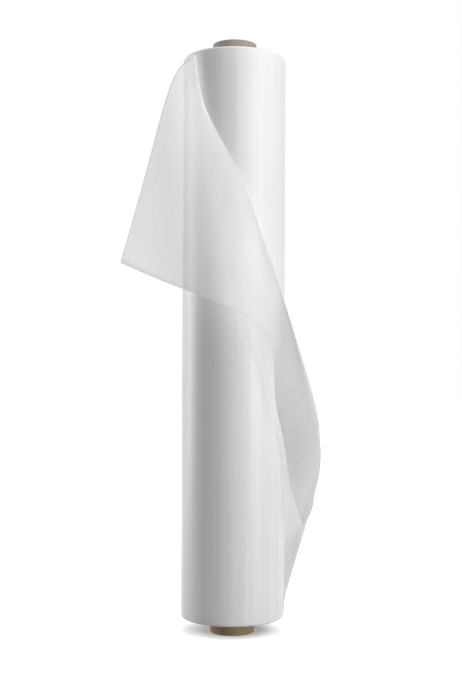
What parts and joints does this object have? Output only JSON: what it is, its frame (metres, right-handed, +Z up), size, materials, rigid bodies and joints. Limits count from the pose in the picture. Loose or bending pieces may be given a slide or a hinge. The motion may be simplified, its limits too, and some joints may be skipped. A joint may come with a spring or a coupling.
{
  "type": "roll of centerfold film",
  "caption": "Tall roll of translucent plastic film on a paperboard core, standing on end, with its loose end folded over and hanging down in front.",
  "frame": {"origin": "centre of the core tube's lower end", "axes": "+Z up along the roll's axis, -Y towards the side over which the loose end hangs, +X to the right as that side is looked at"},
  "size_m": [0.395, 0.334, 1.178],
  "materials": {
    "paperboard": "matt, spirally wound",
    "film": "hazy translucent film with a soft sheen"
  },
  "bodies": {
    "root": {"core_tube": "paperboard", "film_web": "film"}
  },
  "joints": []
}
